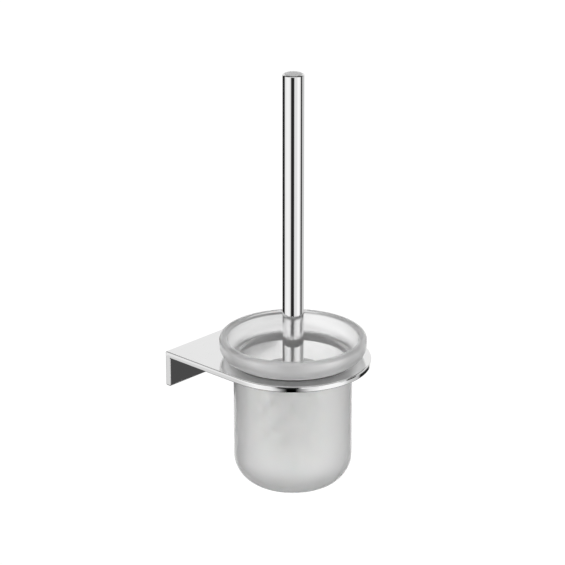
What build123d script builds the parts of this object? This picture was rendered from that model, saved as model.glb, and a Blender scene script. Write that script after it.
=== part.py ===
from build123d import *
import os

# Wall-mounted toilet brush holder: chrome bracket, satin glass cup and brush. Millimetres, +Z up.
# The origin is the middle of the bracket's wall face. The wall is at +Y, and the cup stands at -Y.

# ---- Driving dimensions: bracket ----
WALL_TO_AXIS = 86.0            # wall face to the cup's axis
PLATE_HALF_WIDTH = 65.8        # also the radius of the plate's round front end
PLATE_THICKNESS = 5.2
FLANGE_HEIGHT = 31.0           # from the plate's top down to the flange's lower edge
EDGE_ROUND = 0.4
FLANGE_FOOT_ROUND = 1.2

# ---- Driving dimensions: wall fixing ----
POCKET_WIDTH = 99.0
POCKET_HEIGHT = 20.0
POCKET_DEPTH = 3.0
WALL_PLATE_WIDTH = 98.0
WALL_PLATE_HEIGHT = 19.5
WALL_PLATE_THICKNESS = 2.9
WALL_SCREW_SPACING = 60.0
WALL_SCREW_HOLE_RADIUS = 2.5
WALL_SCREW_SINK_RADIUS = 4.6
GRUB_SPACING = 76.0
GRUB_RADIUS = 1.5
GRUB_TO_WALL = 1.9
GRUB_SOCKET_RADIUS = 0.8
GRUB_SOCKET_DEPTH = 2.0

# ---- Driving dimensions: glass cup and its seat ----
CUP_RADIUS = 50.0
CUP_WALL = 4.0
CUP_DEPTH_BELOW_PLATE = 112.2
CUP_CORNER_ROUND = 24.5
CUP_FLOOR = 5.0
BOWL_RADIUS = 62.1
LIP_RADIUS = 3.5
LIP_TOP = 19.3                 # above the plate's top
SHOULDER_FLAT = 1.0
BOWL_INSIDE_STRAIGHT = 2.8
BOWL_INSIDE_ROUND = 11.4
BOWL_INSIDE_TURN = 59.0        # degrees turned by the bowl's inner round
THROAT_ROUND = 4.0
SEAT_LEDGE = 0.8               # ring ledge between the plate and the bowl
SEAT_LEDGE_RADIUS = 53.0
SEAT_RADIUS = 52.0
SEAT_INNER_RADIUS = 50.3
RING_HOLE_RADIUS = 52.05

# ---- Driving dimensions: handle ----
HANDLE_RADIUS = 9.0
HANDLE_WALL = 1.2
HANDLE_TOP = 247.7             # above the plate's top
CAP_THICKNESS = 1.2
CAP_DISC_RADIUS = 7.4          # the flat satin disc inside the bevel
CAP_BEVEL_RISE = 0.55
CAP_SPIGOT = 8.0
PRESS_GAP = 0.02
WASHER_THICKNESS = 1.0
BUSH_LENGTH = 16.0
STUD_RADIUS = 4.98
STUD_LENGTH = 31.0
STUD_CHAMFER = 0.8
STUD_IN_BUSH = 12.0

# ---- Driving dimensions: brush head ----
COVER_RADIUS = 31.0
COVER_EDGE_BELOW_PLATE = 13.5  # plate top to the top of the cover's rim
COVER_RISE = 2.0
COVER_LAND_RADIUS = 11.0
COVER_EDGE_THICKNESS = 4.0
COVER_HOLE_RADIUS = 5.4
COVER_ROUND = 1.2
CORE_RADIUS = 11.0
CORE_LENGTH = 76.0
CORE_TIP_ROUND = 3.0
INSERT_RADIUS = 6.5
INSERT_LENGTH = 17.0
INSERT_BORE_RADIUS = 5.06
TUFT_HOLE_DEPTH = 3.0
TUFT_HOLE_RADIUS = 1.6
TUFT_TIP_RADIUS = 3.6
TUFTS_IN_ROW = 12
ROW_COUNT = 6
ROW_PITCH = 11.5
FIRST_ROW_BELOW_COVER = 8.0
BRISTLE_RADIUS = 35.0
TIP_TUFTS = 6
TIP_TUFT_CIRCLE = 6.0
TIP_TUFT_HOLE_RADIUS = 1.2
TIP_TUFT_END_RADIUS = 2.4
TIP_CLEARANCE = 0.5            # tip tufts to the cup's floor

# ---- Derived levels, from the wall face's middle ----
PLATE_TOP = FLANGE_HEIGHT / 2
PLATE_UNDERSIDE = PLATE_TOP - PLATE_THICKNESS
FLANGE_FOOT = PLATE_TOP - FLANGE_HEIGHT
WALL_PLATE_MIDDLE = (POCKET_HEIGHT - WALL_PLATE_HEIGHT) / 2
WALL_PLATE_FOOT = WALL_PLATE_MIDDLE - WALL_PLATE_HEIGHT / 2
CUP_BOTTOM = PLATE_TOP - CUP_DEPTH_BELOW_PLATE
CUP_FLOOR_LEVEL = CUP_BOTTOM + CUP_FLOOR
CUP_INNER_RADIUS = CUP_RADIUS - CUP_WALL
CUP_INNER_ROUND = CUP_CORNER_ROUND - CUP_WALL
SHOULDER_LEVEL = PLATE_TOP + SEAT_LEDGE
BOWL_ROUND = BOWL_RADIUS - CUP_RADIUS - SHOULDER_FLAT
LIP_LEVEL = PLATE_TOP + LIP_TOP - LIP_RADIUS
COVER_EDGE_TOP = PLATE_TOP - COVER_EDGE_BELOW_PLATE
COVER_TOP = COVER_EDGE_TOP + COVER_RISE
COVER_FOOT = COVER_EDGE_TOP - COVER_EDGE_THICKNESS
TUBE_FOOT = COVER_TOP + WASHER_THICKNESS
CAP_TOP = PLATE_TOP + HANDLE_TOP
TUBE_TOP = CAP_TOP - CAP_THICKNESS
TUBE_BORE_RADIUS = HANDLE_RADIUS - HANDLE_WALL
STUD_TOP = TUBE_FOOT + STUD_IN_BUSH
CORE_FOOT = COVER_FOOT - CORE_LENGTH
TUFT_ROOT = CORE_RADIUS - TUFT_HOLE_DEPTH
TIP_TUFT_ROOT = CORE_FOOT + TUFT_HOLE_DEPTH
TIP_TUFT_LENGTH = CORE_FOOT - CUP_FLOOR_LEVEL - TIP_CLEARANCE

# Round parts are turned about the cup's axis from profiles drawn as (radius, height).
CUP_AXIS = Axis((0, -WALL_TO_AXIS, 0), (0, 0, 1))
PROFILE = Plane(origin=(0, -WALL_TO_AXIS, 0), x_dir=(1, 0, 0), z_dir=(0, -1, 0))
UP_TUBE = (Align.CENTER, Align.CENTER, Align.MIN)
DOWN_TUBE = (Align.CENTER, Align.CENTER, Align.MAX)

os.makedirs("parts", exist_ok=True)


def cup_plane(level):
    """The horizontal plane at a level, centred on the cup's axis."""
    return Plane(origin=(0, -WALL_TO_AXIS, level))


def save(piece, node):
    """Label a finished piece and write its STEP file."""
    piece.part.label = node
    export_step(piece.part, f"parts/{node}.step")


# ---- Bracket: plate with a round end, and a flange turned down at the wall ----
with BuildPart() as holder_bracket:
    with BuildSketch(Plane.XY.offset(PLATE_TOP)):
        with Locations((0, -WALL_TO_AXIS)):
            Circle(PLATE_HALF_WIDTH)
        with Locations((0, -WALL_TO_AXIS / 2)):
            Rectangle(2 * PLATE_HALF_WIDTH, WALL_TO_AXIS)
    extrude(amount=-PLATE_THICKNESS)
    with BuildSketch(Plane.XY.offset(PLATE_TOP)):
        with Locations((0, -PLATE_THICKNESS / 2)):
            Rectangle(2 * PLATE_HALF_WIDTH, PLATE_THICKNESS)
    extrude(amount=-FLANGE_HEIGHT)
    foot_edges = holder_bracket.edges().group_by(Axis.Z)[0].filter_by(Axis.X)
    fillet(foot_edges, FLANGE_FOOT_ROUND)
    fillet(holder_bracket.faces().sort_by(Axis.Z)[-1].edges(), EDGE_ROUND)
    plate_underside = holder_bracket.faces().filter_by(Axis.Z).group_by(Axis.Z)[-2]
    fillet(plate_underside.edges().filter_by(GeomType.CIRCLE), EDGE_ROUND)
    with BuildSketch(cup_plane(PLATE_TOP)):
        Circle(RING_HOLE_RADIUS)
    extrude(amount=-PLATE_THICKNESS, mode=Mode.SUBTRACT)
    with BuildSketch(Plane.XZ):
        Rectangle(POCKET_WIDTH, POCKET_HEIGHT)
    extrude(amount=POCKET_DEPTH, mode=Mode.SUBTRACT)
    with BuildSketch(Plane.XY.offset(FLANGE_FOOT)):
        with GridLocations(GRUB_SPACING, 0, 2, 1):
            with Locations((0, -GRUB_TO_WALL)):
                Circle(GRUB_RADIUS)
    extrude(amount=WALL_PLATE_FOOT - FLANGE_FOOT, mode=Mode.SUBTRACT)
save(holder_bracket, "holder_bracket")

# ---- Wall plate: sits in the flange's pocket and takes the two wall screws ----
with BuildPart() as wall_plate:
    with BuildSketch(Plane.XZ):
        with Locations((0, WALL_PLATE_MIDDLE)):
            Rectangle(WALL_PLATE_WIDTH, WALL_PLATE_HEIGHT)
    extrude(amount=WALL_PLATE_THICKNESS)
    fillet(wall_plate.edges().filter_by(Axis.Y), 1.0)
    with Locations(Plane(origin=(0, -WALL_PLATE_THICKNESS, 0), x_dir=(1, 0, 0), z_dir=(0, -1, 0))):
        with GridLocations(WALL_SCREW_SPACING, 0, 2, 1):
            CounterSinkHole(WALL_SCREW_HOLE_RADIUS, WALL_SCREW_SINK_RADIUS)
save(wall_plate, "wall_plate")

# ---- Grub screws: go up through the flange's foot and clamp the wall plate ----
with BuildPart() as grub_screws:
    with BuildSketch(Plane.XY.offset(WALL_PLATE_FOOT)):
        with GridLocations(GRUB_SPACING, 0, 2, 1):
            with Locations((0, -GRUB_TO_WALL)):
                Circle(GRUB_RADIUS - PRESS_GAP)
    extrude(amount=FLANGE_FOOT + EDGE_ROUND - WALL_PLATE_FOOT)
    with BuildSketch(Plane.XY.offset(FLANGE_FOOT + EDGE_ROUND)):
        with GridLocations(GRUB_SPACING, 0, 2, 1):
            with Locations((0, -GRUB_TO_WALL)):
                RegularPolygon(GRUB_SOCKET_RADIUS, 6)
    extrude(amount=GRUB_SOCKET_DEPTH, mode=Mode.SUBTRACT)
save(grub_screws, "grub_screws")

# ---- Seat ring: lines the hole and carries the bowl on its ledge ----
with BuildPart() as seat_ring:
    with BuildSketch(PROFILE):
        with BuildLine():
            Polyline(
                (SEAT_INNER_RADIUS, PLATE_UNDERSIDE),
                (SEAT_RADIUS, PLATE_UNDERSIDE),
                (SEAT_RADIUS, PLATE_TOP),
                (SEAT_LEDGE_RADIUS, PLATE_TOP),
                (SEAT_LEDGE_RADIUS, SHOULDER_LEVEL),
                (SEAT_INNER_RADIUS, SHOULDER_LEVEL),
                close=True,
            )
        make_face()
    revolve(axis=CUP_AXIS)
save(seat_ring, "seat_ring")

# ---- Glass cup: straight body with a rounded floor, and a flared bowl with a thick round lip ----
with BuildPart() as glass_cup:
    with BuildSketch(PROFILE):
        with BuildLine():
            Line((0, CUP_BOTTOM), (CUP_RADIUS - CUP_CORNER_ROUND, CUP_BOTTOM))
            JernArc((CUP_RADIUS - CUP_CORNER_ROUND, CUP_BOTTOM), (1, 0), CUP_CORNER_ROUND, 90)
            Polyline(
                (CUP_RADIUS, CUP_BOTTOM + CUP_CORNER_ROUND),
                (CUP_RADIUS, SHOULDER_LEVEL),
                (CUP_RADIUS + SHOULDER_FLAT, SHOULDER_LEVEL),
            )
            JernArc((CUP_RADIUS + SHOULDER_FLAT, SHOULDER_LEVEL), (1, 0), BOWL_ROUND, 90)
            Line((BOWL_RADIUS, SHOULDER_LEVEL + BOWL_ROUND), (BOWL_RADIUS, LIP_LEVEL))
            lip = JernArc((BOWL_RADIUS, LIP_LEVEL), (0, 1), LIP_RADIUS, 180)
            inside = Line(lip @ 1, lip @ 1 - Vector(0, BOWL_INSIDE_STRAIGHT))
            sweep_in = JernArc(inside @ 1, (0, -1), BOWL_INSIDE_ROUND, -BOWL_INSIDE_TURN)
            slope = (sweep_in % 1)
            reach = ((sweep_in @ 1).X - CUP_INNER_RADIUS) / -slope.X
            throat = Line(sweep_in @ 1, sweep_in @ 1 + slope * reach)
            Line(throat @ 1, (CUP_INNER_RADIUS, CUP_FLOOR_LEVEL + CUP_INNER_ROUND))
            corner = (CUP_INNER_RADIUS, CUP_FLOOR_LEVEL + CUP_INNER_ROUND)
            JernArc(corner, (0, -1), CUP_INNER_ROUND, -90)
            Line((CUP_INNER_RADIUS - CUP_INNER_ROUND, CUP_FLOOR_LEVEL), (0, CUP_FLOOR_LEVEL))
            Line((0, CUP_FLOOR_LEVEL), (0, CUP_BOTTOM))
        profile = make_face()
    revolve(axis=CUP_AXIS)
    throat_edge = glass_cup.edges().filter_by(GeomType.CIRCLE).sort_by(
        lambda edge: abs(edge.radius - CUP_INNER_RADIUS) - edge.center().Z / 1000)[0]
    fillet(throat_edge, THROAT_ROUND)
save(glass_cup, "glass_cup")

# ---- Handle: tube, end cap, lower bush, threaded stud and sealing washer ----
with BuildPart() as handle_tube:
    with BuildSketch(cup_plane(TUBE_FOOT)):
        Circle(HANDLE_RADIUS)
        Circle(TUBE_BORE_RADIUS, mode=Mode.SUBTRACT)
    extrude(amount=TUBE_TOP - TUBE_FOOT)
save(handle_tube, "handle_tube")

with BuildPart() as handle_cap:
    with BuildSketch(PROFILE):
        with BuildLine():
            Polyline(
                (0, TUBE_TOP - CAP_SPIGOT),
                (TUBE_BORE_RADIUS - PRESS_GAP, TUBE_TOP - CAP_SPIGOT),
                (TUBE_BORE_RADIUS - PRESS_GAP, TUBE_TOP),
                (HANDLE_RADIUS, TUBE_TOP),
                (HANDLE_RADIUS, CAP_TOP - CAP_BEVEL_RISE),
                (CAP_DISC_RADIUS, CAP_TOP),
                (0, CAP_TOP),
                close=True,
            )
        make_face()
    revolve(axis=CUP_AXIS)
save(handle_cap, "handle_cap")

with BuildPart() as handle_bush:
    with BuildSketch(cup_plane(TUBE_FOOT)):
        Circle(TUBE_BORE_RADIUS - PRESS_GAP)
        Circle(STUD_RADIUS + PRESS_GAP, mode=Mode.SUBTRACT)
    extrude(amount=BUSH_LENGTH)
save(handle_bush, "handle_bush")

with BuildPart() as handle_stud:
    with BuildSketch(cup_plane(STUD_TOP)):
        Circle(STUD_RADIUS)
    extrude(amount=-STUD_LENGTH)
    chamfer(handle_stud.edges().filter_by(GeomType.CIRCLE), STUD_CHAMFER)
save(handle_stud, "handle_stud")

with BuildPart() as sealing_washer:
    with BuildSketch(cup_plane(COVER_TOP)):
        Circle(HANDLE_RADIUS)
        Circle(COVER_HOLE_RADIUS, mode=Mode.SUBTRACT)
    extrude(amount=WASHER_THICKNESS)
save(sealing_washer, "sealing_washer")

# ---- Brush head: cover, bristle core, thread insert, tuft rows and tip tufts ----
with BuildPart() as head_cover:
    with BuildSketch(PROFILE):
        with BuildLine():
            Polyline(
                (COVER_HOLE_RADIUS, COVER_FOOT),
                (COVER_RADIUS, COVER_FOOT),
                (COVER_RADIUS, COVER_EDGE_TOP),
                (COVER_LAND_RADIUS, COVER_TOP),
                (COVER_HOLE_RADIUS, COVER_TOP),
                close=True,
            )
        make_face()
    revolve(axis=CUP_AXIS)
    rim_edges = head_cover.edges().filter_by(GeomType.CIRCLE).filter_by(
        lambda edge: abs(edge.radius - COVER_RADIUS) < EDGE_ROUND)
    fillet(rim_edges, COVER_ROUND)
save(head_cover, "head_cover")


def row_level(row):
    """Height of a bristle row, counted down from the cover."""
    return COVER_FOOT - FIRST_ROW_BELOW_COVER - row * ROW_PITCH


def row_turn(row):
    """Rows are staggered by half a tuft step."""
    return (row % 2) * 180 / TUFTS_IN_ROW


with BuildPart() as head_core:
    with BuildSketch(cup_plane(COVER_FOOT)):
        Circle(CORE_RADIUS)
    extrude(amount=-CORE_LENGTH)
    fillet(head_core.edges().group_by(Axis.Z)[0], CORE_TIP_ROUND)
    with BuildSketch(cup_plane(COVER_FOOT)):
        Circle(INSERT_RADIUS)
    extrude(amount=-INSERT_LENGTH, mode=Mode.SUBTRACT)
    for row in range(ROW_COUNT):
        with Locations(cup_plane(row_level(row))):
            with PolarLocations(TUFT_ROOT, TUFTS_IN_ROW, start_angle=row_turn(row)):
                Cylinder(TUFT_HOLE_RADIUS, 2 * TUFT_HOLE_DEPTH, rotation=(0, 90, 0),
                         align=UP_TUBE, mode=Mode.SUBTRACT)
    with Locations(cup_plane(CORE_FOOT)):
        Cylinder(TIP_TUFT_HOLE_RADIUS, TUFT_HOLE_DEPTH, align=UP_TUBE, mode=Mode.SUBTRACT)
        with PolarLocations(TIP_TUFT_CIRCLE, TIP_TUFTS):
            Cylinder(TIP_TUFT_HOLE_RADIUS, TUFT_HOLE_DEPTH, align=UP_TUBE, mode=Mode.SUBTRACT)
save(head_core, "head_core")

with BuildPart() as thread_insert:
    with BuildSketch(cup_plane(COVER_FOOT)):
        Circle(INSERT_RADIUS - PRESS_GAP)
        Circle(INSERT_BORE_RADIUS, mode=Mode.SUBTRACT)
    extrude(amount=-INSERT_LENGTH)
save(thread_insert, "thread_insert")

for row in range(ROW_COUNT):
    with BuildPart() as bristle_row:
        with Locations(cup_plane(row_level(row))):
            with PolarLocations(TUFT_ROOT, TUFTS_IN_ROW, start_angle=row_turn(row)):
                Cylinder(TUFT_HOLE_RADIUS - PRESS_GAP, TUFT_HOLE_DEPTH, rotation=(0, 90, 0),
                         align=UP_TUBE)
            with PolarLocations(CORE_RADIUS, TUFTS_IN_ROW, start_angle=row_turn(row)):
                Cone(TUFT_HOLE_RADIUS - PRESS_GAP, TUFT_TIP_RADIUS, BRISTLE_RADIUS - CORE_RADIUS,
                     rotation=(0, 90, 0), align=UP_TUBE)
    save(bristle_row, f"bristle_row_{row + 1}")

with BuildPart() as tip_tufts:
    for circle, count in ((0, 1), (TIP_TUFT_CIRCLE, TIP_TUFTS)):
        with Locations(cup_plane(TIP_TUFT_ROOT)):
            with PolarLocations(circle, count):
                Cylinder(TIP_TUFT_HOLE_RADIUS - PRESS_GAP, TUFT_HOLE_DEPTH, align=DOWN_TUBE)
        with Locations(cup_plane(CORE_FOOT)):
            with PolarLocations(circle, count):
                Cone(TIP_TUFT_END_RADIUS, TIP_TUFT_HOLE_RADIUS - PRESS_GAP, TIP_TUFT_LENGTH,
                     align=DOWN_TUBE)
save(tip_tufts, "tip_tufts")
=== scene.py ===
"""Visual model of a wall-mounted toilet brush holder: chrome bracket, satin glass cup and brush.

Every size is in metres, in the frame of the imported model: the origin is the middle of the bracket's
wall face, +Z is up, and +Y goes into the wall.
"""

import logging
import math
from collections.abc import Callable, Iterable
from dataclasses import dataclass, field
from enum import Enum

import bpy
from mathutils import Matrix, Vector


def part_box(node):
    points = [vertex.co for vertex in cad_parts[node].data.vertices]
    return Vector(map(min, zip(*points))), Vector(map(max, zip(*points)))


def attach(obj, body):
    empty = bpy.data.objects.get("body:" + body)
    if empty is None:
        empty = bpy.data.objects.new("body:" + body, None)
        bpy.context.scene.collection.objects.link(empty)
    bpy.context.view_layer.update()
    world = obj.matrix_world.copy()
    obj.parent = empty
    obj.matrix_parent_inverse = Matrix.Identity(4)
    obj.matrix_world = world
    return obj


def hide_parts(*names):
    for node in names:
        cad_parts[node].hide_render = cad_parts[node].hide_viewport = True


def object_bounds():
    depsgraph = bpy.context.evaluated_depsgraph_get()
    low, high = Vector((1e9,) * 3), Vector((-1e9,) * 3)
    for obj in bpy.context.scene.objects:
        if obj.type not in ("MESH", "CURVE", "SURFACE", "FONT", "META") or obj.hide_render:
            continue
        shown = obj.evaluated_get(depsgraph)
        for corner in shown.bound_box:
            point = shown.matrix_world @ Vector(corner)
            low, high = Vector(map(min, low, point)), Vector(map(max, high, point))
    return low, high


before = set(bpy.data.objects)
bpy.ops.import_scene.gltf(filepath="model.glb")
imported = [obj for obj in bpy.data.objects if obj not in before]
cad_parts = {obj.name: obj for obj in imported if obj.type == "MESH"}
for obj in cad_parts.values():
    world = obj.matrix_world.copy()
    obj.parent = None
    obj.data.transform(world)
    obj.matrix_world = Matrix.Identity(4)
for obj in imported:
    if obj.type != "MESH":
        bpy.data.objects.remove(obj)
CAD_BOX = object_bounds()

LOG = logging.getLogger("brush_holder")
MM = 0.001
NOISE_MIDDLE = (0.3, 0.7)       # the range that most of a noise lies in
# A mix node has sockets of the same names for floats, vectors and colours. These are the colour ones.
MIX_COLOURS = (6, 7)
MIX_RESULT = 2

Point = tuple[float, float]
Colour = tuple[float, float, float, float]


class Body(Enum):
    """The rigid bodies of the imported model."""

    BRACKET = "bracket"
    CUP = "cup"
    HANDLE = "handle"
    BRUSH_HEAD = "brush_head"


class Slot(Enum):
    """The material slots of the record."""

    CHROME = "chrome"
    SATIN_STEEL = "satin_steel"
    FIXING_STEEL = "fixing_steel"
    SATIN_GLASS = "satin_glass"
    SEAT_PLASTIC = "seat_plastic"
    BUSH_PLASTIC = "bush_plastic"
    SEAL_RUBBER = "seal_rubber"
    COVER_PLASTIC = "cover_plastic"
    CORE_PLASTIC = "core_plastic"
    INSERT_BRASS = "insert_brass"
    BRISTLE = "bristle"


# ---------------------------------------------------------------- finishes


class Recipe:
    """A material under construction: its node tree and its one shader."""

    def __init__(self, name: str) -> None:
        """Start a material.

        Args:
            name: the material's name.
        """
        self.material = bpy.data.materials.new(name)
        self.material.use_nodes = True
        self.nodes = self.material.node_tree.nodes
        self.links = self.material.node_tree.links
        self.shader = self.nodes["Principled BSDF"]
        self.place = self.nodes.new("ShaderNodeTexCoord")

    def set(self, **values: float | Colour) -> None:
        """Set constants on the shader.

        Args:
            values: socket names, with underscores for spaces, and their values.
        """
        for name, value in values.items():
            self.shader.inputs[name.replace("_", " ")].default_value = value

    def stretched(self, scale: tuple[float, float, float]) -> bpy.types.NodeSocket:
        """Return object coordinates multiplied by a scale for each axis.

        Args:
            scale: the factor along each axis.

        Returns:
            The socket with the scaled coordinates.
        """
        mapping = self.nodes.new("ShaderNodeMapping")
        mapping.inputs["Scale"].default_value = scale
        self.links.new(self.place.outputs["Object"], mapping.inputs["Vector"])
        return mapping.outputs["Vector"]

    def noise(self, scale: float, detail: float = 3.0,
              vector: bpy.types.NodeSocket | None = None) -> bpy.types.NodeSocket:
        """Return a noise value from 0 to 1.

        Args:
            scale: grains for each metre.
            detail: how many finer layers are added.
            vector: coordinates to read, or the object's own.

        Returns:
            The socket with the noise.
        """
        texture = self.nodes.new("ShaderNodeTexNoise")
        texture.inputs["Scale"].default_value = scale
        texture.inputs["Detail"].default_value = detail
        self.links.new(vector or self.place.outputs["Object"], texture.inputs["Vector"])
        return texture.outputs["Fac"]

    def spread(self, value: bpy.types.NodeSocket, low: float, high: float) -> bpy.types.NodeSocket:
        """Return the value stretched from its middle range to low and high.

        Args:
            value: the socket to read.
            low: the result at the bottom of the range.
            high: the result at the top of the range.

        Returns:
            The socket with the stretched value.
        """
        node = self.nodes.new("ShaderNodeMapRange")
        node.inputs["From Min"].default_value = NOISE_MIDDLE[0]
        node.inputs["From Max"].default_value = NOISE_MIDDLE[1]
        node.inputs["To Min"].default_value = low
        node.inputs["To Max"].default_value = high
        self.links.new(value, node.inputs["Value"])
        return node.outputs["Result"]

    def tint(self, value: bpy.types.NodeSocket, low: Colour, high: Colour) -> None:
        """Blend the base colour between two colours.

        Args:
            value: the socket that blends them.
            low: the colour at the low end.
            high: the colour at the high end.
        """
        ramp = self.nodes.new("ShaderNodeValToRGB")
        ramp.color_ramp.elements[0].position = 0.3
        ramp.color_ramp.elements[0].color = low
        ramp.color_ramp.elements[1].position = 0.7
        ramp.color_ramp.elements[1].color = high
        self.links.new(value, ramp.inputs["Fac"])
        self.links.new(ramp.outputs["Color"], self.shader.inputs["Base Color"])

    def roughen(self, value: bpy.types.NodeSocket, low: float, high: float) -> None:
        """Vary the roughness between two values.

        Args:
            value: the socket that varies it.
            low: the lowest roughness.
            high: the highest roughness.
        """
        self.links.new(self.spread(value, low, high), self.shader.inputs["Roughness"])

    def bump(self, value: bpy.types.NodeSocket, strength: float, height: float) -> None:
        """Add relief.

        Args:
            value: the height from 0 to 1.
            strength: the share of the relief that shows.
            height: the relief's depth in metres.
        """
        node = self.nodes.new("ShaderNodeBump")
        node.inputs["Strength"].default_value = strength
        node.inputs["Distance"].default_value = height
        self.links.new(value, node.inputs["Height"])
        self.links.new(node.outputs["Normal"], self.shader.inputs["Normal"])


def grey(level: float, alpha: float = 1.0) -> Colour:
    """Return a neutral colour.

    Args:
        level: its linear value.
        alpha: its opacity.
    """
    return (level, level, level, alpha)


@dataclass(frozen=True)
class MirrorChrome:
    """Polished chrome plate with the faint haze of wiping."""

    light: float = 0.94
    haze_scale: float = 34.0
    polish: float = 0.012
    haze: float = 0.045

    def material(self) -> bpy.types.Material:
        """Return the material.

        Returns:
            The finished material.
        """
        recipe = Recipe("mirror_chrome")
        recipe.set(Metallic=1.0)
        haze = recipe.noise(self.haze_scale, 4.0)
        recipe.tint(haze, grey(self.light), grey(self.light - 0.015))
        recipe.roughen(haze, self.polish, self.haze)
        return recipe.material


@dataclass(frozen=True)
class SatinSteel:
    """Finely blasted metal on the handle's end disc."""

    light: float = 0.74
    grain_scale: float = 2600.0
    grain_depth: float = 0.00002

    def material(self) -> bpy.types.Material:
        """Return the material.

        Returns:
            The finished material.
        """
        recipe = Recipe("satin_steel")
        recipe.set(Metallic=1.0)
        grain = recipe.noise(self.grain_scale, 2.0)
        recipe.tint(recipe.noise(260.0), grey(self.light), grey(self.light + 0.05))
        recipe.roughen(grain, 0.36, 0.5)
        recipe.bump(grain, 0.35, self.grain_depth)
        return recipe.material


@dataclass(frozen=True)
class ZincSteel:
    """Zinc-plated steel of the concealed fixings, with its mottled passivation."""

    def material(self) -> bpy.types.Material:
        """Return the material.

        Returns:
            The finished material.
        """
        recipe = Recipe("zinc_steel")
        recipe.set(Metallic=1.0)
        mottle = recipe.noise(190.0, 5.0)
        recipe.tint(mottle, (0.50, 0.52, 0.55, 1.0), (0.66, 0.67, 0.68, 1.0))
        drawn = recipe.noise(900.0, 2.0, recipe.stretched((0.05, 1.0, 1.0)))
        recipe.roughen(drawn, 0.28, 0.44)
        recipe.bump(drawn, 0.2, 0.00003)
        return recipe.material


@dataclass(frozen=True)
class SatinGlass:
    """Clear glass etched to a fine satin on both faces."""

    light: float = 0.985
    see_through: float = 0.93
    bowl_rough: float = 0.28
    body_rough: float = 0.43
    fade: Point = (-0.012, 0.014)
    refraction: float = 1.5
    coat: float = 0.6
    coat_rough: float = 0.08
    grain_scale: float = 3200.0

    def material(self) -> bpy.types.Material:
        """Return the material.

        Returns:
            The finished material.
        """
        recipe = Recipe("satin_glass")
        recipe.set(IOR=self.refraction, Transmission_Weight=self.see_through,
                   Coat_Weight=self.coat, Coat_Roughness=self.coat_rough)
        cloud = recipe.noise(60.0, 3.0)
        recipe.tint(cloud, grey(self.light), grey(self.light - 0.01))
        height = recipe.nodes.new("ShaderNodeSeparateXYZ")
        recipe.links.new(recipe.place.outputs["Object"], height.inputs["Vector"])
        etch = recipe.nodes.new("ShaderNodeMapRange")
        for name, value in zip(("From Min", "From Max", "To Min", "To Max"),
                               (*self.fade, self.body_rough, self.bowl_rough)):
            etch.inputs[name].default_value = value
        recipe.links.new(height.outputs["Z"], etch.inputs["Value"])
        recipe.links.new(etch.outputs["Result"], recipe.shader.inputs["Roughness"])
        recipe.bump(recipe.noise(self.grain_scale, 2.0), 0.12, 0.00002)
        return recipe.material


@dataclass(frozen=True)
class MouldedPlastic:
    """Injection-moulded plastic with a fine spark-eroded skin."""

    name: str
    low: Colour
    high: Colour
    roughness: Point = (0.38, 0.5)
    translucent: float = 0.0

    def material(self) -> bpy.types.Material:
        """Return the material.

        Returns:
            The finished material.
        """
        recipe = Recipe(self.name)
        recipe.set(IOR=1.49, Transmission_Weight=self.translucent)
        flow = recipe.noise(75.0, 3.0)
        recipe.tint(flow, self.low, self.high)
        skin = recipe.noise(2400.0, 2.0)
        recipe.roughen(skin, *self.roughness)
        recipe.bump(skin, 0.25, 0.00003)
        return recipe.material


@dataclass(frozen=True)
class TurnedBrass:
    """Machined brass with the rings that the cutting tool leaves."""

    def material(self) -> bpy.types.Material:
        """Return the material.

        Returns:
            The finished material.
        """
        recipe = Recipe("turned_brass")
        recipe.set(Metallic=1.0)
        rings = recipe.noise(1500.0, 2.0, recipe.stretched((0.02, 0.02, 1.0)))
        recipe.tint(recipe.noise(120.0), (0.62, 0.42, 0.15, 1.0), (0.78, 0.56, 0.24, 1.0))
        recipe.roughen(rings, 0.2, 0.36)
        recipe.bump(rings, 0.3, 0.00004)
        return recipe.material


@dataclass(frozen=True)
class NylonBristle:
    """White nylon filament, glossy and slightly see-through, drawn along its length."""

    def material(self) -> bpy.types.Material:
        """Return the material.

        Returns:
            The finished material.
        """
        recipe = Recipe("nylon_bristle")
        recipe.set(IOR=1.53, Subsurface_Weight=0.15, Subsurface_Scale=0.002)
        strand = recipe.noise(700.0, 2.0)
        recipe.tint(strand, (0.83, 0.83, 0.81, 1.0), (0.93, 0.93, 0.92, 1.0))
        recipe.roughen(strand, 0.3, 0.45)
        return recipe.material


# ---------------------------------------------------------------- modelling bench


def deselect_all() -> None:
    """Leave no object selected."""
    bpy.ops.object.select_all(action="DESELECT")


def take_up(piece: bpy.types.Object) -> None:
    """Make a piece the only selected object, and the active one.

    Args:
        piece: the object.
    """
    deselect_all()
    piece.select_set(True)
    bpy.context.view_layer.objects.active = piece


def new_piece(name: str) -> bpy.types.Object:
    """Name the primitive just added, fix its place in its mesh and return it.

    Args:
        name: the piece's name.

    Returns:
        The piece.
    """
    piece = bpy.context.active_object
    piece.name = name
    piece.data.name = name
    bpy.ops.object.transform_apply(location=True, rotation=True, scale=True)
    return piece


def select_faces(piece: bpy.types.Object, rule: Callable[[Vector, Vector], bool]) -> int:
    """Select the faces that a rule picks, and stay in edit mode with faces selectable.

    Args:
        piece: the active object.
        rule: told each face's centre and normal.

    Returns:
        How many faces were picked.
    """
    bpy.ops.object.mode_set(mode="OBJECT")
    picked = 0
    for vertex in piece.data.vertices:
        vertex.select = False
    for edge in piece.data.edges:
        edge.select = False
    for polygon in piece.data.polygons:
        polygon.select = rule(polygon.center, polygon.normal)
        picked += polygon.select
    bpy.ops.object.mode_set(mode="EDIT")
    bpy.ops.mesh.select_mode(type="FACE")
    return picked


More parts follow.
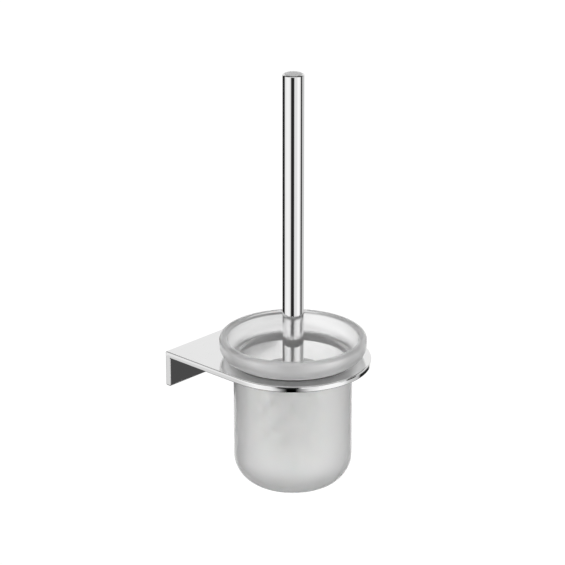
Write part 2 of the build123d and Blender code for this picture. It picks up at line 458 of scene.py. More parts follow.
def select_edges(piece: bpy.types.Object, rule: Callable[[Vector, Vector], bool]) -> int:
    """Select the edges that a rule picks, and stay in edit mode with edges selectable.

    Args:
        piece: the active object.
        rule: told each edge's two ends.

    Returns:
        How many edges were picked.
    """
    bpy.ops.object.mode_set(mode="EDIT")
    bpy.ops.mesh.select_mode(type="EDGE")
    bpy.ops.mesh.select_all(action="DESELECT")
    bpy.ops.object.mode_set(mode="OBJECT")
    points = piece.data.vertices
    picked = 0
    for edge in piece.data.edges:
        edge.select = rule(points[edge.vertices[0]].co, points[edge.vertices[1]].co)
        picked += edge.select
    bpy.ops.object.mode_set(mode="EDIT")
    return picked


def extrude(x: float = 0.0, y: float = 0.0, z: float = 0.0) -> None:
    """Pull the selection out by a step and leave it selected."""
    bpy.ops.mesh.extrude_region_move(TRANSFORM_OT_translate={"value": (x, y, z)})


def apply_modifier(piece: bpy.types.Object, kind: str, **settings: object) -> None:
    """Add a modifier, set it and apply it.

    Args:
        piece: the object.
        kind: the modifier's type.
        settings: its properties.
    """
    take_up(piece)
    modifier = piece.modifiers.new(kind.lower(), kind)
    for name, value in settings.items():
        setattr(modifier, name, value)
    bpy.ops.object.modifier_apply(modifier=modifier.name)


def cut_away(piece: bpy.types.Object, cutter: bpy.types.Object) -> None:
    """Cut one piece with another and delete the cutter.

    Args:
        piece: the object that is cut.
        cutter: the object that is taken away.
    """
    apply_modifier(piece, "BOOLEAN", operation="DIFFERENCE", solver="EXACT", object=cutter)
    bpy.data.objects.remove(cutter, do_unlink=True)


def smooth(piece: bpy.types.Object, degrees: float = 30.0) -> None:
    """Shade smooth across edges that turn less than an angle, and keep the large faces true.

    Args:
        piece: the object.
        degrees: the largest angle shaded smooth.
    """
    take_up(piece)
    bpy.ops.object.shade_smooth_by_angle(angle=math.radians(degrees))
    apply_modifier(piece, "WEIGHTED_NORMAL", mode="FACE_AREA", weight=100, keep_sharp=True)


def join(pieces: Iterable[bpy.types.Object], name: str) -> bpy.types.Object:
    """Join pieces to one object.

    Args:
        pieces: the objects.
        name: the result's name.

    Returns:
        The joined object.
    """
    pieces = list(pieces)
    deselect_all()
    for piece in pieces:
        piece.select_set(True)
    bpy.context.view_layer.objects.active = pieces[0]
    bpy.ops.object.join()
    pieces[0].name = name
    pieces[0].data.name = name
    return pieces[0]


def copy_of(piece: bpy.types.Object, move: Matrix) -> bpy.types.Object:
    """Return a copy of a piece with its own mesh, moved within that mesh.

    Args:
        piece: the object to copy.
        move: where the copy goes.

    Returns:
        The copy.
    """
    twin = piece.copy()
    twin.data = piece.data.copy()
    twin.data.transform(move)
    bpy.context.scene.collection.objects.link(twin)
    return twin


def round_corner(centre: Point, radius: float, start: float, end: float, steps: int = 12) -> list[Point]:
    """Return the points of an arc in a turned profile.

    Args:
        centre: the arc's centre as (radius, height).
        radius: the arc's own radius.
        start: its first angle in degrees, from straight outwards, towards up.
        end: its last angle.
        steps: how many chords it has.

    Returns:
        The arc's points, in order.
    """
    turns = [math.radians(start + (end - start) * step / steps) for step in range(steps + 1)]
    return [(centre[0] + radius * math.cos(turn), centre[1] + radius * math.sin(turn)) for turn in turns]


@dataclass
class Turning:
    """Turns round pieces on the cup's axis, as on a lathe."""

    axis: Vector
    steps: int = 160

    def turn(self, name: str, profile: list[Point], closed: bool = True) -> bpy.types.Object:
        """Draw a profile point by point and spin it to a round piece.

        Args:
            name: the piece's name.
            profile: its outline as (radius, height), walked with the metal on the left.
            closed: whether the last point joins the first.

        Returns:
            The turned piece, smooth shaded.
        """
        outline = profile + profile[:1] if closed else profile
        deselect_all()
        start = Vector((outline[0][0], 0.0, outline[0][1]))
        bpy.ops.mesh.primitive_plane_add(size=MM, location=self.axis + start)
        piece = new_piece(name)
        bpy.ops.object.mode_set(mode="EDIT")
        bpy.ops.mesh.select_mode(type="VERT")
        bpy.ops.mesh.select_all(action="SELECT")
        bpy.ops.mesh.merge(type="CENTER")
        for before, after in zip(outline, outline[1:]):
            extrude(x=after[0] - before[0], z=after[1] - before[1])
        bpy.ops.mesh.select_all(action="SELECT")
        bpy.ops.mesh.spin(steps=self.steps, angle=math.tau, center=self.axis, axis=(0.0, 0.0, 1.0))
        bpy.ops.mesh.select_all(action="SELECT")
        bpy.ops.mesh.remove_doubles(threshold=0.005 * MM)
        bpy.ops.mesh.dissolve_degenerate(threshold=0.005 * MM)
        bpy.ops.mesh.normals_make_consistent(inside=False)
        bpy.ops.object.mode_set(mode="OBJECT")
        smooth(piece)
        return piece


def dress(piece: bpy.types.Object, material: bpy.types.Material) -> None:
    """Give a piece its one material.

    Args:
        piece: the object.
        material: its material.
    """
    piece.data.materials.clear()
    piece.data.materials.append(material)


def mount(piece: bpy.types.Object, body: Body, slot: Slot, *nodes: str) -> None:
    """Fix a finished piece to a body of the frame, in place of CAD nodes.

    Args:
        piece: the finished piece.
        body: the body that it moves with.
        slot: the record's material slot; it is not used.
        nodes: the CAD nodes that it stands for.
    """
    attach(piece, body.value)
    if nodes:
        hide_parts(*nodes)
    LOG.info("%s rides on %s, %d faces", piece.name, body.value, len(piece.data.polygons))


def finish_node(node: str, material: bpy.types.Material) -> None:
    """Give a carried-over CAD node its material.

    Args:
        node: the node's name.
        material: its material.
    """
    dress(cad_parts[node], material)
    LOG.info("%s keeps its CAD shape", node)


# ---------------------------------------------------------------- sub-assemblies


@dataclass
class Bracket:
    """The chrome bracket: a plate with a round end, a cup hole and a flange turned down at the wall."""

    chrome: bpy.types.Material
    zinc: bpy.types.Material
    thickness: float = 5.2 * MM
    hole_radius: float = 52.05 * MM
    pocket: tuple[float, float, float] = (99.0 * MM, 3.0 * MM, 20.0 * MM)
    foot_round: float = 1.35 * MM  # any rounder bares the ends of the grub screws
    edge_round: float = 0.8 * MM
    screw_spacing: float = 76.0 * MM
    screw_radius: float = 1.5 * MM
    screw_to_wall: float = 1.9 * MM
    round_end_steps: int = 256
    tolerance: float = 0.1 * MM
    low: Vector = field(default_factory=lambda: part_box("holder_bracket")[0])
    high: Vector = field(default_factory=lambda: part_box("holder_bracket")[1])

    def plate(self) -> bpy.types.Object:
        """Cut a disc in half and pull the cut face back to the wall.

        Returns:
            The plate, in edit mode.
        """
        axis_y = self.low.y + self.high.x
        deselect_all()
        bpy.ops.mesh.primitive_cylinder_add(
            vertices=self.round_end_steps, radius=self.high.x, depth=self.thickness,
            location=(0.0, axis_y, self.high.z - self.thickness / 2))
        piece = new_piece("bracket_chrome")
        bpy.ops.object.mode_set(mode="EDIT")
        bpy.ops.mesh.select_all(action="SELECT")
        bpy.ops.mesh.bisect(plane_co=(0.0, axis_y, 0.0), plane_no=(0.0, 1.0, 0.0),
                            use_fill=True, clear_outer=True)
        select_faces(piece, lambda centre, normal: centre.y > axis_y - self.tolerance)
        extrude(y=-axis_y)
        return piece

    def turn_down_flange(self, piece: bpy.types.Object) -> None:
        """Mark off a strip at the wall, pull it down and round its lower edges.

        Args:
            piece: the plate, in edit mode.
        """
        bpy.ops.mesh.select_all(action="SELECT")
        bpy.ops.mesh.bisect(plane_co=(0.0, -self.thickness, 0.0), plane_no=(0.0, 1.0, 0.0))
        select_faces(piece, lambda centre, normal: normal.z < -0.9 and centre.y > -self.thickness)
        underside = self.high.z - self.thickness
        extrude(z=self.low.z - underside)
        floor = self.low.z + self.tolerance
        select_edges(piece, lambda a, b: a.z < floor and b.z < floor)
        bpy.ops.mesh.bevel(offset=self.foot_round, segments=6, affect="EDGES")
        bpy.ops.object.mode_set(mode="OBJECT")

    def cut_openings(self, piece: bpy.types.Object) -> None:
        """Cut the cup hole, the pocket for the wall plate and the two screw holes.

        Args:
            piece: the plate with its flange.
        """
        deselect_all()
        bpy.ops.mesh.primitive_cylinder_add(
            vertices=192, radius=self.hole_radius, depth=4 * self.thickness,
            location=(0.0, self.low.y + self.high.x, self.high.z))
        cut_away(piece, new_piece("hole_cutter"))
        deselect_all()
        bpy.ops.mesh.primitive_cube_add(size=1.0, scale=(self.pocket[0], 2 * self.pocket[1], self.pocket[2]))
        cut_away(piece, new_piece("pocket_cutter"))
        for side in (-1, 1):
            deselect_all()
            bpy.ops.mesh.primitive_cylinder_add(
                vertices=32, radius=self.screw_radius, depth=self.pocket[2] / 2,
                location=(side * self.screw_spacing / 2, -self.screw_to_wall, self.low.z))
            cut_away(piece, new_piece("screw_cutter"))

    def build(self) -> None:
        """Model the bracket, soften its edges and dress the concealed fixings."""
        piece = self.plate()
        self.turn_down_flange(piece)
        apply_modifier(piece, "BEVEL", width=self.edge_round, segments=4, limit_method="ANGLE",
                       angle_limit=math.radians(40), use_clamp_overlap=True)
        self.cut_openings(piece)
        smooth(piece, 35)
        dress(piece, self.chrome)
        mount(piece, Body.BRACKET, Slot.CHROME, "holder_bracket")
        finish_node("wall_plate", self.zinc)
        finish_node("grub_screws", self.zinc)


@dataclass
class CupSeat:
    """The plastic ring that lines the cup hole."""

    lathe: Turning
    plastic: bpy.types.Material
    inner_radius: float = 50.3 * MM
    outer_radius: float = 52.0 * MM
    ledge: float = 0.8 * MM
    soft_edge: float = 0.25 * MM
    low: Vector = field(default_factory=lambda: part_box("seat_ring")[0])
    high: Vector = field(default_factory=lambda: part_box("seat_ring")[1])

    def build(self) -> None:
        """Turn the ring with its ledge."""
        ledge_radius = self.high.x
        top = self.high.z
        bottom = self.low.z
        ledge_foot = top - self.ledge
        soft = self.soft_edge
        profile = [
            (self.inner_radius, bottom + soft),
            (self.inner_radius + soft, bottom),
            (self.outer_radius - soft, bottom),
            (self.outer_radius, bottom + soft),
            (self.outer_radius, ledge_foot),
            (ledge_radius, ledge_foot),
            *round_corner((ledge_radius - soft, top - soft), soft, 0, 90, 4),
            (self.inner_radius + soft, top),
            (self.inner_radius, top - soft),
        ]
        piece = self.lathe.turn("seat_ring_soft", profile)
        dress(piece, self.plastic)
        mount(piece, Body.BRACKET, Slot.SEAT_PLASTIC, "seat_ring")


@dataclass
class GlassCup:
    """The blown glass cup: straight body, rounded floor and flared bowl with a thick round lip."""

    lathe: Turning
    glass: bpy.types.Material
    body_radius: float = 50.0 * MM
    wall: float = 4.0 * MM
    floor: float = 5.0 * MM
    corner_round: float = 24.5 * MM
    lip_radius: float = 3.5 * MM
    shoulder_flat: float = 1.0 * MM
    shoulder_level: float = 16.3 * MM
    inside_straight: float = 2.8 * MM
    inside_round: float = 11.4 * MM
    inside_turn: float = 59.0
    throat_round: float = 4.0 * MM
    low: Vector = field(default_factory=lambda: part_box("glass_cup")[0])
    high: Vector = field(default_factory=lambda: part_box("glass_cup")[1])

    def outside(self) -> list[Point]:
        """Return the outer outline, from the middle of the floor up to the lip.

        Returns:
            Points of radius and height.
        """
        bottom = self.low.z
        centre = (self.body_radius - self.corner_round, bottom + self.corner_round)
        bowl_round = self.high.x - self.body_radius - self.shoulder_flat
        bowl_centre = (self.body_radius + self.shoulder_flat, self.shoulder_level + bowl_round)
        return [
            (0.0, bottom),
            (centre[0] / 2, bottom),
            *round_corner(centre, self.corner_round, -90, 0, 20),
            (self.body_radius, self.shoulder_level - self.wall),
            (self.body_radius, self.shoulder_level - self.shoulder_flat / 2),
            (self.body_radius + self.shoulder_flat / 2, self.shoulder_level),
            *round_corner(bowl_centre, bowl_round, -90, 0, 18),
        ]

    def lip(self) -> list[Point]:
        """Return the round lip, walked over its top from outside to inside."""
        centre = (self.high.x - self.lip_radius, self.high.z - self.lip_radius)
        return round_corner(centre, self.lip_radius, 0, 180, 18)

    def inside(self) -> list[Point]:
        """Return the inner outline, from the lip down to the middle of the floor.

        Returns:
            Points of radius and height.
        """
        rim = self.high.x - 2 * self.lip_radius
        start = self.high.z - self.lip_radius - self.inside_straight
        sweep = round_corner((rim - self.inside_round, start), self.inside_round, 0, -self.inside_turn, 14)
        last = sweep[-1]
        bore = self.body_radius - self.wall
        fall = math.radians(90 - self.inside_turn)
        meet = last[1] - (last[0] - bore) * math.tan(fall)
        reach = self.throat_round * math.tan((math.pi / 2 - fall) / 2)
        throat = (bore + self.throat_round, meet - reach)
        first_turn = 90 + math.degrees(fall)
        inner_round = self.corner_round - self.wall
        inner_floor = self.low.z + self.floor
        centre = (bore - inner_round, inner_floor + inner_round)
        return [
            *sweep,
            *round_corner(throat, self.throat_round, first_turn, 180, 8),
            *round_corner(centre, inner_round, 0, -90, 18),
            (centre[0] / 2, inner_floor),
            (0.0, inner_floor),
        ]

    def build(self) -> None:
        """Turn the cup in one piece of glass that lets the studio's light through to the brush."""
        profile = self.outside() + self.lip() + self.inside()
        piece = self.lathe.turn("cup_satin_glass", profile)
        dress(piece, self.glass)
        piece.visible_shadow = False
        piece.visible_diffuse = False
        mount(piece, Body.CUP, Slot.SATIN_GLASS, "glass_cup")


@dataclass
class Handle:
    """The round chrome handle with its flat end disc, and the stud that takes the head."""

    lathe: Turning
    chrome: bpy.types.Material
    satin: bpy.types.Material
    zinc: bpy.types.Material
    black: bpy.types.Material
    rubber: bpy.types.Material
    wall: float = 1.2 * MM
    end_round: float = 0.3 * MM
    disc_thickness: float = 1.2 * MM
    disc_radius: float = 7.4 * MM
    bevel_rise: float = 0.55 * MM

    def tube(self) -> bpy.types.Object:
        """Turn the tube with lightly rounded ends.

        Returns:
            The tube.
        """
        low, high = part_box("handle_tube")
        outer = high.x
        bore = outer - self.wall
        soft = self.end_round
        profile = [
            (bore, low.z),
            *round_corner((outer - soft, low.z + soft), soft, -90, 0, 4),
            (outer, high.z),
            (bore, high.z),
        ]
        return self.lathe.turn("handle_chrome", profile)

    def end_disc(self) -> bpy.types.Object:
        """Turn the end disc with its chamfer and the spigot that holds it in the tube.

        Returns:
            The end disc.
        """
        low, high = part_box("handle_cap")
        radius = high.x
        seat = high.z - self.disc_thickness
        spigot = radius - self.wall
        profile = [
            (0.0, low.z),
            (spigot, low.z),
            (spigot, seat),
            (radius, seat),
            (radius, high.z - self.bevel_rise),
            (self.disc_radius, high.z),
            (self.disc_radius / 2, high.z),
            (0.0, high.z),
        ]
        return self.lathe.turn("handle_end_disc", profile)

    def build(self) -> None:
        """Model the outside of the handle and dress what is inside it."""
        tube = self.tube()
        dress(tube, self.chrome)
        mount(tube, Body.HANDLE, Slot.CHROME, "handle_tube")
        disc = self.end_disc()
        dress(disc, self.chrome)
        disc.data.materials.append(self.satin)
        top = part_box("handle_cap")[1].z - 0.1 * MM
        take_up(disc)
        select_faces(disc, lambda centre, normal: centre.z > top)
        disc.active_material_index = 1
        bpy.ops.object.material_slot_assign()
        bpy.ops.object.mode_set(mode="OBJECT")
        mount(disc, Body.HANDLE, Slot.SATIN_STEEL, "handle_cap")
        finish_node("handle_bush", self.black)
        finish_node("handle_stud", self.zinc)
        finish_node("sealing_washer", self.rubber)


@dataclass
class BrushHead:
    """The screw-on head: cover, core and staggered rows of nylon tufts."""

    lathe: Turning
    cover_plastic: bpy.types.Material
    core_plastic: bpy.types.Material
    nylon: bpy.types.Material
    brass: bpy.types.Material
    cover_hole: float = 5.4 * MM
    land_radius: float = 11.0 * MM
    cover_rise: float = 2.0 * MM
    cover_round: float = 1.2 * MM
    core_tip_round: float = 3.0 * MM
    insert_radius: float = 6.5 * MM
    insert_depth: float = 17.0 * MM
    tufts: int = 12
    bristle_thickness: float = 0.45 * MM
    tuft_rings: int = 3
    root_radius: float = 1.35 * MM
    tip_radius: float = 4.2 * MM
    tip_root: float = 1.0 * MM
    tip_end: float = 2.3 * MM
    tip_tufts: int = 6
    tip_circle: float = 6.0 * MM

    def cover(self) -> bpy.types.Object:
        """Turn the cover with a rounded rim and a shallow ring groove.

        Returns:
            The cover.
        """
        low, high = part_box("head_cover")
        rim = high.x
        edge_top = high.z - self.cover_rise
        soft = self.cover_round
        slope = self.cover_rise / (rim - self.land_radius)
        groove = rim * 0.8
        groove_level = edge_top + (rim - groove) * slope
        profile = [
            (self.cover_hole, low.z),
            *round_corner((rim - soft, low.z + soft), soft, -90, 0, 6),
            *round_corner((rim - soft, edge_top - soft), soft, 0, 84, 6),
            (groove + 0.8 * MM, groove_level),
            (groove + 0.4 * MM, groove_level - 0.35 * MM),
            (groove - 0.4 * MM, groove_level - 0.35 * MM),
            (groove - 0.8 * MM, groove_level + slope * MM),
            (self.land_radius, high.z),
            (self.cover_hole, high.z),
        ]
        return self.lathe.turn("head_cover_moulding", profile)

    def core(self) -> bpy.types.Object:
        """Turn the core with the well for the thread insert and a rounded tip.

        Returns:
            The core.
        """
        low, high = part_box("head_core")
        radius = high.x
        well = high.z - self.insert_depth
        profile = [
            (self.insert_radius, high.z),
            (self.insert_radius, well),
            (0.0, well),
            (0.0, low.z),
            *round_corner((radius - self.core_tip_round, low.z + self.core_tip_round),
                          self.core_tip_round, -90, 0, 8),
            (radius, high.z),
        ]
        return self.lathe.turn("head_core_moulding", profile)

    def bristle(self, length: float, lean: float, turn: float, root: float) -> bpy.types.Object:
        """Model one bristle along +X, leaning out of its bundle.

        Args:
            length: from the core's surface to the tip.
            lean: how far the tip stands out from the bundle's middle.
            turn: the direction of the lean about the bundle.
            root: how far the root stands out from the bundle's middle.

        Returns:
            The bristle, with its root at the origin.
        """
        deselect_all()
        bpy.ops.mesh.primitive_cylinder_add(
            vertices=5, radius=self.bristle_thickness / 2, depth=length, end_fill_type="TRIFAN",
            rotation=(0.0, math.pi / 2, 0.0), location=(length / 2, 0.0, 0.0))
        piece = new_piece("bristle")
        bpy.ops.object.mode_set(mode="EDIT")
        bpy.ops.mesh.select_all(action="SELECT")
        for share in (0.35, 0.7):
            bpy.ops.mesh.bisect(plane_co=(share * length, 0.0, 0.0), plane_no=(1.0, 0.0, 0.0))
            bpy.ops.mesh.select_all(action="SELECT")
        bpy.ops.object.mode_set(mode="OBJECT")
        for vertex in piece.data.vertices:
            share = vertex.co.x / length
            out = root + (lean - root) * (0.55 * share + 0.45 * share * share)
            vertex.co.y += out * math.cos(turn)
            vertex.co.z += out * math.sin(turn)
        return piece

    def tuft(self, name: str, length: float, root_radius: float, tip_radius: float) -> bpy.types.Object:
        """Join a bundle of bristles along +X.

        Args:
            name: the bundle's name.
            length: the bristles' length.
            root_radius: the bundle's radius at the core.
            tip_radius: its radius at the tips.

        Returns:
            The bundle, with its root at the origin.
        """
        strands = [self.bristle(length, 0.0, 0.0, 0.0)]
        for ring in range(1, self.tuft_rings + 1):
            share = ring / self.tuft_rings
            count = 6 * ring
            for step in range(count):
                turn = math.tau * (step + 0.37 * ring) / count
                trim = length * (1 - 0.018 * ((step * 7 + ring * 3) % 4))
                strands.append(self.bristle(trim, tip_radius * share, turn, root_radius * share))
        bundle = join(strands, name)
        dress(bundle, self.nylon)
        smooth(bundle, 60)
        return bundle

    def row(self, tuft: bpy.types.Object, number: int) -> None:
        """Set one staggered ring of tufts round the core.

        Args:
            tuft: the bundle to copy.
            number: the row's number, from 1 at the top.
        """
        node = f"bristle_row_{number}"
        low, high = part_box(node)
        level = (low.z + high.z) / 2
        stagger = 0.5 * ((number - 1) % 2)
        centre = Matrix.Translation(self.lathe.axis + Vector((0.0, 0.0, level)))
        out = Matrix.Translation(Vector((self.core_radius, 0.0, 0.0)))
        ring = []
        for step in range(self.tufts):
            about = Matrix.Rotation(math.tau * (step + stagger) / self.tufts, 4, "Z")
            roll = Matrix.Rotation(math.tau * ((step * 5 + number * 3) % 12) / 12, 4, "X")
            ring.append(copy_of(tuft, centre @ about @ out @ roll))
        piece = join(ring, f"nylon_row_{number}")
        mount(piece, Body.BRUSH_HEAD, Slot.BRISTLE, node)

    def tip(self) -> None:
        """Set the short tufts that point down from the core's end."""
        low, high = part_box("tip_tufts")
        core_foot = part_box("head_core")[0].z
        tuft = self.tuft("tip_tuft", core_foot - low.z, self.tip_root, self.tip_end)
        down = Matrix.Rotation(math.pi / 2, 4, "Y")
        places = [Vector((0.0, 0.0, core_foot))]
        for step in range(self.tip_tufts):
            about = math.tau * step / self.tip_tufts
            places.append(Vector((self.tip_circle * math.cos(about),
                                  self.tip_circle * math.sin(about), core_foot)))
        bunch = [copy_of(tuft, Matrix.Translation(self.lathe.axis + place) @ down) for place in places]
        bpy.data.objects.remove(tuft, do_unlink=True)
        mount(join(bunch, "nylon_tip"), Body.BRUSH_HEAD, Slot.BRISTLE, "tip_tufts")

    @property
    def core_radius(self) -> float:
        """The core's radius, from the frame."""
        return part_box("head_core")[1].x

    def build(self) -> None:
        """Model the head and plant its tufts."""
        cover = self.cover()
        dress(cover, self.cover_plastic)
        mount(cover, Body.BRUSH_HEAD, Slot.COVER_PLASTIC, "head_cover")
        core = self.core()
        dress(core, self.core_plastic)
        mount(core, Body.BRUSH_HEAD, Slot.CORE_PLASTIC, "head_core")
        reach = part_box("bristle_row_1")[1].x - self.core_radius
        tuft = self.tuft("row_tuft", reach, self.root_radius, self.tip_radius)
        rows = [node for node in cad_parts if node.startswith("bristle_row_")]
        for number in range(1, len(rows) + 1):
            self.row(tuft, number)
        bpy.data.objects.remove(tuft, do_unlink=True)
        self.tip()
        finish_node("thread_insert", self.brass)


# ---------------------------------------------------------------- studio

Stops = tuple[tuple[float, float], ...]


@dataclass
class Surround:
    """The studio's walls as light by direction: white, with narrow black flags and a grey back.

    Angles round the horizon are in degrees from the camera, growing to its right. Heights are the sine
    of the elevation.
    """

    azimuth: float
    high_mirror: Stops = (
        (-180, 1.0), (-160, 0.9), (-156, 0.02), (-104, 0.02), (-96, 0.84), (-84, 0.86), (-60, 0.98),
        (-32, 0.86), (-26, 0.5), (-21, 0.02), (7, 0.02), (14, 0.8), (36, 0.8), (48, 1.0), (68, 1.0),
        (76, 0.7), (84, 0.7), (86, 0.02), (105, 0.02), (107, 0.6), (156, 0.6), (164, 1.0), (180, 1.0))
    low_mirror: Stops = (
        (-180, 1.0), (-152, 1.0), (-146, 0.1), (-104, 0.1), (-98, 0.7), (-80, 0.72), (-56, 0.98),
        (-32, 0.9), (-22, 0.55), (-15, 0.2), (-9, 0.0), (4, 0.0), (12, 0.3), (24, 0.75), (40, 1.0),
        (78, 1.0), (92, 0.6), (112, 0.5), (118, 0.02), (150, 0.02), (156, 1.0), (180, 1.0))
    soft_walls: Stops = (
        (-180, 1.3), (-170, 1.1), (-156, 0.1), (-125, 0.0), (-60, 0.0), (-35, 0.35), (-20, 0.45),
        (20, 0.45), (35, 0.35), (60, 0.0), (125, 0.0), (156, 0.1), (170, 1.1), (180, 1.3))
    split: Point = (-0.3835, -0.3805)
    front_sky: Stops = ((0.0, 0.86), (0.3, 0.6), (0.4, 0.08), (0.9, 0.08), (0.96, 1.0))
    back_sky: Stops = ((0.0, 0.86), (0.44, 0.84), (0.5, 0.06), (0.7, 0.06), (0.77, 1.0))
    turn: Point = (-0.2, 0.2)       # from the back sky to the front one
    rise: Point = (-0.02, 0.18)     # from the walls to the sky
    fall: Point = (-0.5, -0.75)     # from the walls to the ground
    soft_sky: float = 0.7
    soft_below: float = 0.35
    mirror_below: float = 0.02

    def __post_init__(self) -> None:
        """Start the world."""
        world = bpy.data.worlds.new("studio")
        bpy.context.scene.world = world
        world.use_nodes = True
        self.nodes = world.node_tree.nodes
        self.links = world.node_tree.links
        self.direction = self.nodes.new("ShaderNodeTexCoord").outputs["Generated"]

    def along(self, axis: tuple[float, float, float]) -> bpy.types.NodeSocket:
        """Return how far a ray points along an axis.

        Args:
            axis: the axis's direction.

        Returns:
            The dot product's socket.
        """
        dot = self.nodes.new("ShaderNodeVectorMath")
        dot.operation = "DOT_PRODUCT"
        dot.inputs[1].default_value = axis
        self.links.new(self.direction, dot.inputs[0])
        return dot.outputs["Value"]

    def scaled(self, value: bpy.types.NodeSocket, low: float, high: float) -> bpy.types.NodeSocket:
        """Return the value's share of the way from low to high, held within 0 and 1.

        Args:
            value: the socket to read.
            low: the value that gives 0.
            high: the value that gives 1.

        Returns:
            The socket with the share.
        """
        node = self.nodes.new("ShaderNodeMapRange")
        node.inputs["From Min"].default_value = low
        node.inputs["From Max"].default_value = high
        self.links.new(value, node.inputs["Value"])
        return node.outputs["Result"]

    def ramp(self, share: bpy.types.NodeSocket, stops: list[Point]) -> bpy.types.NodeSocket:
        """Return the light that a list of stops gives.

        Args:
            share: where to read it, from 0 to 1.
            stops: each stop's place and light.

        Returns:
            The socket with the stops' light.
        """
        node = self.nodes.new("ShaderNodeValToRGB")
        elements = node.color_ramp.elements
        for place, _ in stops[1:-1]:
            elements.new(place)
        for element, (place, light) in zip(elements, stops):
            element.position = place
            element.color = grey(light)
        self.links.new(share, node.inputs["Fac"])
        return node.outputs["Color"]

    def blend(self, share: bpy.types.NodeSocket, first: bpy.types.NodeSocket | Colour,
              second: bpy.types.NodeSocket | Colour) -> bpy.types.NodeSocket:
        """Return a mix of two lights.

        Args:
            share: 0 for the first, 1 for the second.
            first: a socket or a colour.
            second: a socket or a colour.

        Returns:
            The socket with the mixed light.
        """
        node = self.nodes.new("ShaderNodeMix")
        node.data_type = "RGBA"
        self.links.new(share, node.inputs["Factor"])
        for socket, light in zip((node.inputs[index] for index in MIX_COLOURS), (first, second)):
            if isinstance(light, bpy.types.NodeSocket):
                self.links.new(light, socket)
            else:
                socket.default_value = light
        return node.outputs[MIX_RESULT]

    def build(self) -> None:
        """Light the walls, the sky above them and the ground below."""
        heading = math.radians(self.azimuth)
        east, north = math.sin(heading), math.cos(heading)
        front = self.along((east, -north, 0.0))
        side = self.along((north, east, 0.0))
        up = self.along((0.0, 0.0, 1.0))
        angle = self.nodes.new("ShaderNodeMath")
        angle.operation = "ARCTAN2"
        self.links.new(side, angle.inputs[0])
        self.links.new(front, angle.inputs[1])
        around = self.scaled(angle.outputs["Value"], -math.pi, math.pi)
        high, low, soft = (
            self.ramp(around, [(place / 360 + 0.5, light) for place, light in stops])
            for stops in (self.high_mirror, self.low_mirror, self.soft_walls))
        mirror = self.blend(self.scaled(up, *self.split), low, high)
        front_sky = self.ramp(up, list(self.front_sky))
        back_sky = self.ramp(up, list(self.back_sky))
        sky = self.blend(self.scaled(front, *self.turn), back_sky, front_sky)
        rise = self.scaled(up, *self.rise)
        fall = self.scaled(up, *self.fall)
        mirror = self.blend(fall, self.blend(rise, mirror, sky), grey(self.mirror_below))
        soft = self.blend(fall, self.blend(rise, soft, grey(self.soft_sky)), grey(self.soft_below))
        path = self.nodes.new("ShaderNodeLightPath")
        light = self.blend(path.outputs["Is Glossy Ray"], soft, mirror)
        background = self.nodes["Background"]
        self.links.new(light, background.inputs["Color"])


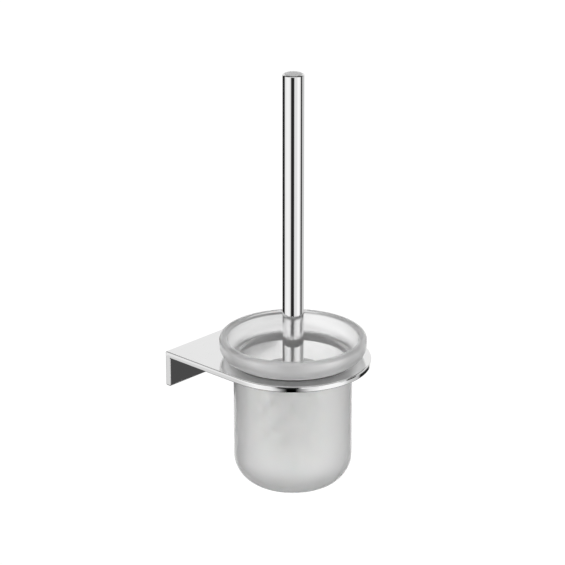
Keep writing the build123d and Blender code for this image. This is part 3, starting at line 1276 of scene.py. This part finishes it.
@dataclass
class Studio:
    """A white studio: pale floor, camera, soft light and surround."""

    cup_axis: Vector
    plate_top: float
    azimuth: float = -46.9
    heading: float = -46.67
    pitch: float = 21.14
    distance: float = 2.200
    height: float = 0.9172
    lens: float = 180.46
    clip_end: float = 100.0
    floor_size: float = 60.0
    floor_drop: float = 0.45
    floor_grey: float = 0.02
    flag_glow: float = 0.07
    flag_box: tuple[Vector, Vector] = (Vector((-0.056, -0.021, -0.034)), Vector((0.03, -0.021, 0.008)))
    softbox: tuple[Vector, float, float] = (Vector((-0.5, -0.9, 2.0)), 1.6, 14.0)
    fill: tuple[Vector, float, float] = (Vector((-1.5, -1.6, 0.35)), 1.2, 17.0)

    def camera(self) -> None:
        """Set the camera above and to the left of the holder, looking down at it."""
        data = bpy.data.cameras.new("camera")
        data.lens = self.lens
        data.clip_end = self.clip_end
        camera = bpy.data.objects.new("camera", data)
        turn = math.radians(self.azimuth)
        camera.location = self.cup_axis + Vector(
            (self.distance * math.sin(turn), -self.distance * math.cos(turn), self.plate_top + self.height))
        camera.rotation_euler = (math.radians(90 - self.pitch), 0.0, math.radians(self.heading))
        bpy.context.scene.collection.objects.link(camera)
        bpy.context.scene.camera = camera

    def floor(self) -> None:
        """Lay a wide pale floor below the cup."""
        deselect_all()
        level = CAD_BOX[0][2] - self.floor_drop
        bpy.ops.mesh.primitive_plane_add(size=self.floor_size, location=(0.0, 0.0, level))
        floor = new_piece("studio_floor")
        recipe = Recipe("studio_white")
        recipe.set(Base_Color=grey(self.floor_grey), Roughness=1.0, Emission_Color=grey(1.0),
                   Emission_Strength=1.0)
        dress(floor, recipe.material)
        floor.visible_glossy = False
        floor.visible_transmission = False

    def flag(self) -> None:
        """Hang a dark card below the plate that only reflections see, so the flange reads as deep chrome."""
        low, high = self.flag_box
        middle = (low + high) / 2
        deselect_all()
        bpy.ops.mesh.primitive_plane_add(size=1.0, location=middle, rotation=(math.radians(90), 0.0, 0.0))
        bpy.context.active_object.scale = (high.x - low.x, high.z - low.z, 1.0)
        card = new_piece("studio_flag")
        recipe = Recipe("studio_black")
        recipe.set(Base_Color=grey(0.0), Specular_IOR_Level=0.0, Emission_Color=grey(self.flag_glow),
                   Emission_Strength=1.0)
        dress(card, recipe.material)
        card.visible_camera = False
        card.visible_diffuse = False
        card.visible_transmission = False
        card.visible_shadow = False

    def light(self, name: str, place: Vector, size: float, energy: float) -> None:
        """Hang a round soft light that points at the cup and shows in no reflection.

        Args:
            name: its name.
            place: where it hangs.
            size: its width.
            energy: its power in watts.
        """
        data = bpy.data.lights.new(name, "AREA")
        data.shape = "DISK"
        data.size = size
        data.energy = energy
        light = bpy.data.objects.new(name, data)
        light.location = place
        light.rotation_euler = (self.cup_axis - place).to_track_quat("-Z", "Y").to_euler()
        light.visible_glossy = False
        light.visible_transmission = False
        bpy.context.scene.collection.objects.link(light)

    def build(self) -> None:
        """Set up the whole studio."""
        self.camera()
        self.floor()
        self.flag()
        Surround(self.azimuth).build()
        self.light("softbox", *self.softbox)
        self.light("fill", *self.fill)
        bpy.context.scene.view_settings.view_transform = "Standard"


def main() -> None:
    """Build the studio and every sub-assembly in order."""
    logging.basicConfig(level=logging.INFO, format="%(name)s: %(message)s")
    cup_low, cup_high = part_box("glass_cup")
    cup_axis = Vector((0.0, (cup_low.y + cup_high.y) / 2, 0.0))
    plate_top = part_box("holder_bracket")[1].z
    Studio(cup_axis, plate_top).build()

    lathe = Turning(cup_axis)
    chrome = MirrorChrome().material()
    zinc = ZincSteel().material()
    # The seat ring is near-black as painted shade: the dark line where the cup sits in the bracket, not the
    # ring's own pale colour.
    seat_painted_shade = MouldedPlastic("seat_plastic_painted_shade", grey(0.07), grey(0.1)).material()
    black = MouldedPlastic("black_plastic", grey(0.02), grey(0.035)).material()
    rubber = MouldedPlastic("black_rubber", grey(0.012), grey(0.02), roughness=(0.6, 0.75)).material()
    # The cover's grey is partly its own pale grey plastic and partly painted shade of its place deep inside
    # the cup.
    cover_grey_and_painted_shade = MouldedPlastic("cover_plastic_grey_and_painted_shade", grey(0.5), grey(0.55)).material()
    core_white = MouldedPlastic("white_plastic", grey(0.78), grey(0.84)).material()

    Bracket(chrome, zinc).build()
    CupSeat(lathe, seat_painted_shade).build()
    GlassCup(lathe, SatinGlass().material()).build()
    Handle(lathe, chrome, SatinSteel().material(), zinc, black, rubber).build()
    BrushHead(lathe, cover_grey_and_painted_shade, core_white, NylonBristle().material(), TurnedBrass().material()).build()


if __name__ == "__main__":
    main()
